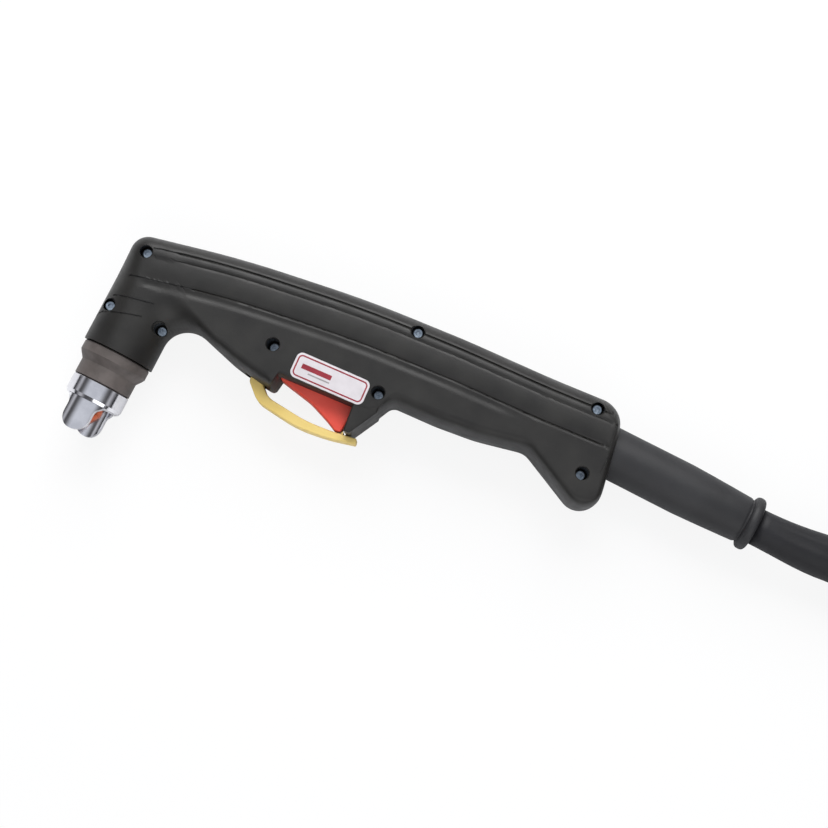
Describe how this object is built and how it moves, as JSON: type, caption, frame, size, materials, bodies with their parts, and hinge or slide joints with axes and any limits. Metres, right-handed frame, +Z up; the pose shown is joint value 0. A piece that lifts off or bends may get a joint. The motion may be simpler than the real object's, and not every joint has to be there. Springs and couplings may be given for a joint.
{
  "type": "hand cutting torch",
  "caption": "Hand-held welding and cutting torch with an angled head, red trigger, yellow safety lever, rubber cable boot and coiled lead with a machine connector.",
  "frame": {"origin": "bottom centre of the torch lying on its side, without its cable", "axes": "+X back along the handle towards the cable boot, +Y to the back edge of the handle, +Z up through the near half"},
  "size_m": [0.7279, 0.19, 0.0848],
  "materials": {
    "moulded_black": "fine moulded grain",
    "steel_screw": "zinc plated",
    "label_white": "bare label with a plain border",
    "insulator_brown": "heat resistant moulding",
    "brass": "turned",
    "copper": "turned copper",
    "hafnium": "satin",
    "chrome": "polished",
    "oring_black": "satin",
    "trigger_red": "satin moulding",
    "lever_yellow": "satin moulding",
    "switch_grey": "moulded",
    "boot_rubber": "matt rubber",
    "cable_cover": "soft matt cover",
    "hose_black": "matt",
    "wire_red": "insulation"
  },
  "bodies": {
    "root": {"handle_near_half": "moulded_black", "handle_far_half": "moulded_black", "handle_screws": "steel_screw", "label_plate": "label_white", "head_insulator": "insulator_brown", "head_thread_ring": "brass", "cathode_body": "brass", "head_oring": "oring_black", "electrode": "copper", "electrode_emitter": "hafnium", "swirl_ring": "insulator_brown", "nozzle_tip": "copper", "head_tube": "brass", "tube_nut": "brass", "hose_barb": "brass", "hose_ferrule": "brass", "power_hose": "hose_black", "pilot_terminal": "brass", "pilot_lead": "wire_red", "switch_leads": "wire_red", "trigger_pin": "steel_screw", "lever_pin": "steel_screw", "trigger_spring": "steel_screw", "lever_spring": "steel_screw", "switch_body": "switch_grey", "switch_terminals": "brass", "cable_boot": "boot_rubber", "cable_jacket": "cable_cover", "jacket_clamp": "steel_screw", "torch_cable": "cable_cover", "cable_tail": "cable_cover", "cable_coil": "cable_cover", "plug_boot": "boot_rubber", "plug_body": "moulded_black", "plug_contacts": "brass", "gas_spigot": "brass", "spigot_oring": "oring_black"},
    "trigger": {"trigger": "trigger_red"},
    "switch_plunger": {"switch_plunger": "trigger_red"},
    "safety_lever": {"safety_lever": "lever_yellow"},
    "retaining_cap": {"retaining_cap": "insulator_brown", "cap_thread_insert": "brass"},
    "standoff_spacer": {"standoff_spacer": "chrome"},
    "coupling_nut": {"coupling_nut": "brass"}
  },
  "joints": [
    {"name": "trigger_press", "type": "hinge", "parent": "root", "child": "trigger", "pos_m": [-0.0676, 0.0082, 0.018], "axis": [0, 0, 1], "range_deg": [0, 6], "stiffness_Nm_per_rad": 0.4, "springref_deg": -6.88},
    {"name": "switch_travel", "type": "slide", "parent": "root", "child": "switch_plunger", "axis": [0, 1, 0], "range_m": [0, 0.00255]},
    {"name": "safety_lever_swing", "type": "hinge", "parent": "root", "child": "safety_lever", "pos_m": [-0.0816, 0.0037, 0.018], "axis": [0, 0, -1], "range_deg": [0, 25], "stiffness_Nm_per_rad": 0.06, "springref_deg": -8.59},
    {"name": "retaining_cap_off", "type": "slide", "parent": "root", "child": "retaining_cap", "axis": [-0.1219, -0.9925, 0], "range_m": [0, 0.045]},
    {"name": "spacer_turn", "type": "hinge", "parent": "retaining_cap", "child": "standoff_spacer", "pos_m": [-0.1492, -0.0116, 0.018], "axis": [-0.1219, -0.9925, 0], "continuous": true},
    {"name": "coupling_nut_turn", "type": "hinge", "parent": "root", "child": "coupling_nut", "pos_m": [0.44241, 0.038, 0.0633], "axis": [0.9991, 0, 0.0414], "continuous": true}
  ],
  "couplings": [
    {"joint": "switch_travel", "follows": "trigger_press", "m_per_rad": 0.024}
  ]
}
